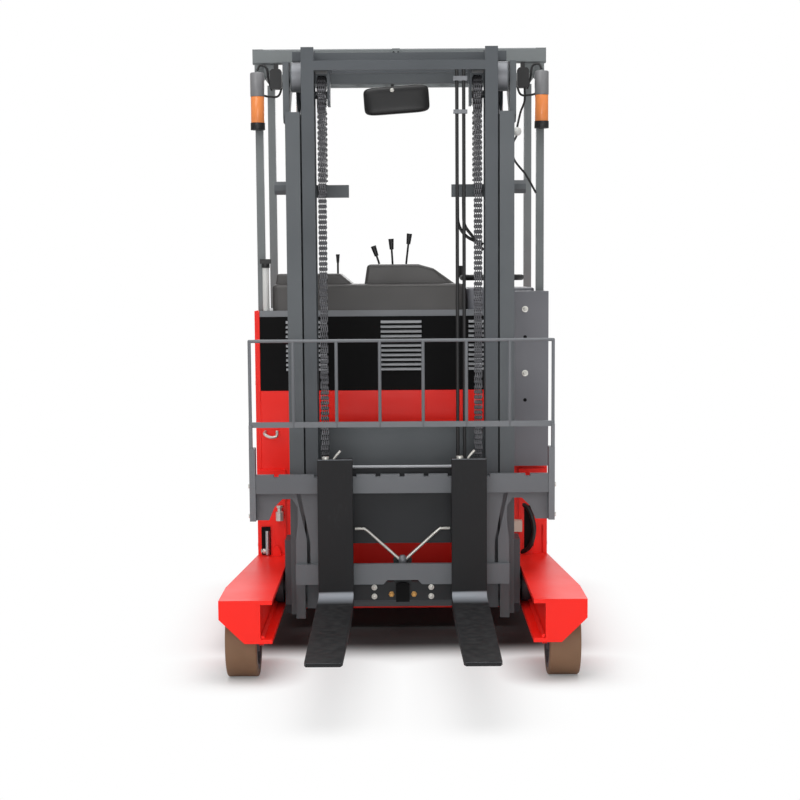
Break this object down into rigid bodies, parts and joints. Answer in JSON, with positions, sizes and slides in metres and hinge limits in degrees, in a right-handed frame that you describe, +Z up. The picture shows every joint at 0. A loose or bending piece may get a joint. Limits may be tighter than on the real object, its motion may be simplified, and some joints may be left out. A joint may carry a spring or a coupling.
{
  "type": "stand-on reach truck",
  "caption": "Battery reach truck for standing operators: straddle legs, telescopic mast that reaches forward, tilting fork carriage, overhead guard.",
  "frame": {"origin": "middle of the truck's footprint at floor level", "axes": "+Z up, -Y the way the forks point, +X towards the truck's left side"},
  "size_m": [1.27, 2.65, 2.278],
  "materials": {
    "red_paint": "semi-gloss red paint",
    "mast_paint": "satin dark grey paint",
    "black_paint": "satin black paint",
    "grey_trim": "satin mid grey paint",
    "fork_steel": "black painted forged steel",
    "bright_steel": "zinc plated or ground steel",
    "chrome_rod": "hard chromed rod",
    "cast_grey": "grey painted casting",
    "polyurethane": "amber-brown polyurethane tread",
    "drive_rubber": "black drive tyre",
    "chain_steel": "oiled leaf chain",
    "hose_rubber": "black hydraulic hose",
    "console_plastic": "dark textured moulding",
    "black_plastic": "black moulding",
    "white_plastic": "white plastic",
    "amber_lens": "orange lens",
    "pad_vinyl": "black vinyl pad",
    "rubber_mat": "ribbed rubber mat",
    "battery_case": "steel battery tray with cells"
  },
  "bodies": {
    "chassis": {"leg_left": "red_paint", "leg_right": "red_paint", "chassis_frame": "red_paint", "front_panel": "red_paint", "side_panel_left": "red_paint", "side_panel_right": "red_paint", "louvre_panel": "black_paint", "top_strip": "grey_trim", "battery": "battery_case", "console": "console_plastic", "control_levers": "black_plastic", "filler_pipe": "white_plastic", "filler_cap": "black_plastic", "side_box": "grey_trim", "steering_table": "grey_trim", "rear_hood": "console_plastic", "drive_motor": "cast_grey", "operator_floor": "rubber_mat", "foot_pedal": "black_plastic", "back_pad": "pad_vinyl", "reach_cylinder": "mast_paint", "overhead_guard": "mast_paint", "rear_mirror": "black_plastic", "indicator_lamps": "amber_lens", "lamp_bases": "black_plastic", "work_lamps": "black_plastic"},
    "load_wheel_left": {"load_tyre_left": "polyurethane", "load_hub_left": "cast_grey"},
    "load_wheel_right": {"load_tyre_right": "polyurethane", "load_hub_right": "cast_grey"},
    "drive_unit": {"drive_gearcase": "cast_grey"},
    "drive_wheel": {"drive_tyre": "drive_rubber", "drive_hub": "cast_grey"},
    "caster": {"caster_swivel": "cast_grey"},
    "caster_pair": {"caster_wheels": "polyurethane"},
    "steering_wheel": {"steering_wheel": "black_plastic"},
    "mast": {"outer_mast": "mast_paint", "reach_carriage": "mast_paint", "reach_rod": "chrome_rod", "lift_cylinders": "mast_paint", "rear_chains": "chain_steel"},
    "mast_inner": {"inner_mast": "mast_paint", "lift_rods": "chrome_rod", "chain_sheaves": "bright_steel", "front_chains": "chain_steel", "mast_hoses": "hose_rubber"},
    "carriage": {"lift_carriage": "mast_paint", "tilt_pipes": "bright_steel"},
    "tilt_ram": {"tilt_ram": "chrome_rod"},
    "fork_frame": {"fork_carriage": "mast_paint", "load_backrest": "mast_paint"},
    "fork_left": {"fork_left": "fork_steel"},
    "fork_right": {"fork_right": "fork_steel"}
  },
  "joints": [
    {"name": "load_wheel_left_spin", "type": "hinge", "parent": "chassis", "child": "load_wheel_left", "pos_m": [0.563, -0.465, 0.133], "axis": [1, 0, 0], "continuous": true},
    {"name": "load_wheel_right_spin", "type": "hinge", "parent": "chassis", "child": "load_wheel_right", "pos_m": [-0.563, -0.465, 0.133], "axis": [1, 0, 0], "continuous": true},
    {"name": "drive_steer", "type": "hinge", "parent": "chassis", "child": "drive_unit", "pos_m": [-0.33, 1.08, 0.39], "axis": [0, 0, 1], "range_deg": [-90, 90]},
    {"name": "drive_wheel_spin", "type": "hinge", "parent": "drive_unit", "child": "drive_wheel", "pos_m": [-0.33, 1.08, 0.19], "axis": [1, 0, 0], "continuous": true},
    {"name": "caster_swivel", "type": "hinge", "parent": "chassis", "child": "caster", "pos_m": [0.3, 1.08, 0.22], "axis": [0, 0, 1], "continuous": true},
    {"name": "caster_wheel_spin", "type": "hinge", "parent": "caster", "child": "caster_pair", "pos_m": [0.3, 1.145, 0.1], "axis": [1, 0, 0], "continuous": true},
    {"name": "steering_wheel_turn", "type": "hinge", "parent": "chassis", "child": "steering_wheel", "pos_m": [0.372, 0.64, 1.392], "axis": [0, 0, 1], "continuous": true},
    {"name": "mast_reach", "type": "slide", "parent": "chassis", "child": "mast", "axis": [0, -1, 0], "range_m": [0, 0.56]},
    {"name": "mast_lift", "type": "slide", "parent": "mast", "child": "mast_inner", "axis": [0, 0, 1], "range_m": [-0.08, 1.33], "deforming": ["rear_chains"]},
    {"name": "carriage_lift", "type": "slide", "parent": "mast_inner", "child": "carriage", "axis": [0, 0, 1], "range_m": [-0.08, 1.33], "deforming": ["front_chains", "mast_hoses"]},
    {"name": "fork_tilt", "type": "hinge", "parent": "carriage", "child": "fork_frame", "pos_m": [0, -0.14, 0.59], "axis": [-1, 0, 0], "range_deg": [-2, 4]},
    {"name": "tilt_ram_slide", "type": "slide", "parent": "carriage", "child": "tilt_ram", "axis": [0, -1, 0], "range_m": [-0.0105, 0.0205]},
    {"name": "fork_left_shift", "type": "slide", "parent": "fork_frame", "child": "fork_left", "axis": [1, 0, 0], "range_m": [-0.1, 0.03]},
    {"name": "fork_right_shift", "type": "slide", "parent": "fork_frame", "child": "fork_right", "axis": [-1, 0, 0], "range_m": [-0.1, 0.03]}
  ],
  "couplings": [
    {"joint": "carriage_lift", "follows": "mast_lift", "ratio": 1},
    {"joint": "tilt_ram_slide", "follows": "fork_tilt", "m_per_rad": 0.278}
  ]
}
